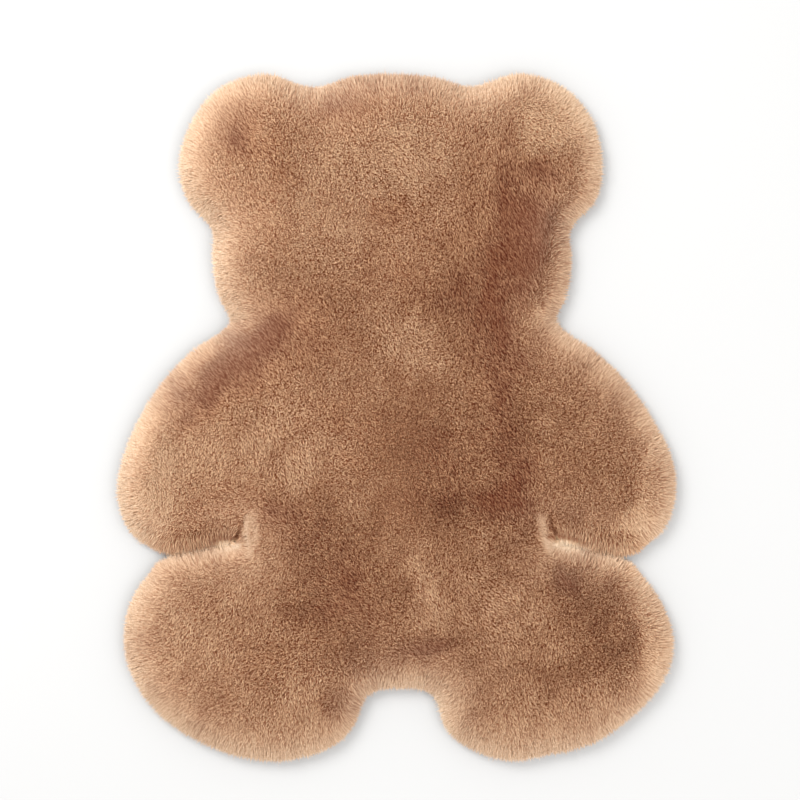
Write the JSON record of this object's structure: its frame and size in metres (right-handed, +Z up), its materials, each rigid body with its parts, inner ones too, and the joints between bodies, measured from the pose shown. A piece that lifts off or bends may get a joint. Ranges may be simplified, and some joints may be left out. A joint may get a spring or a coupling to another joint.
{
  "type": "bear shaped plush rug",
  "caption": "Flat bear shaped floor rug of long dense plush pile that rolls over its edge, with round ears, arms and legs parted by narrow slits.",
  "frame": {"origin": "on the floor under the middle of the rug's outline", "axes": "+Z up, +Y towards the crown of the head, +X towards the right as seen from above"},
  "size_m": [0.8142, 1.0008, 0.0355],
  "materials": {
    "plush": "long dense plush pile, tan, soft and matt"
  },
  "bodies": {
    "root": {"plush_rug": "plush"}
  },
  "joints": []
}
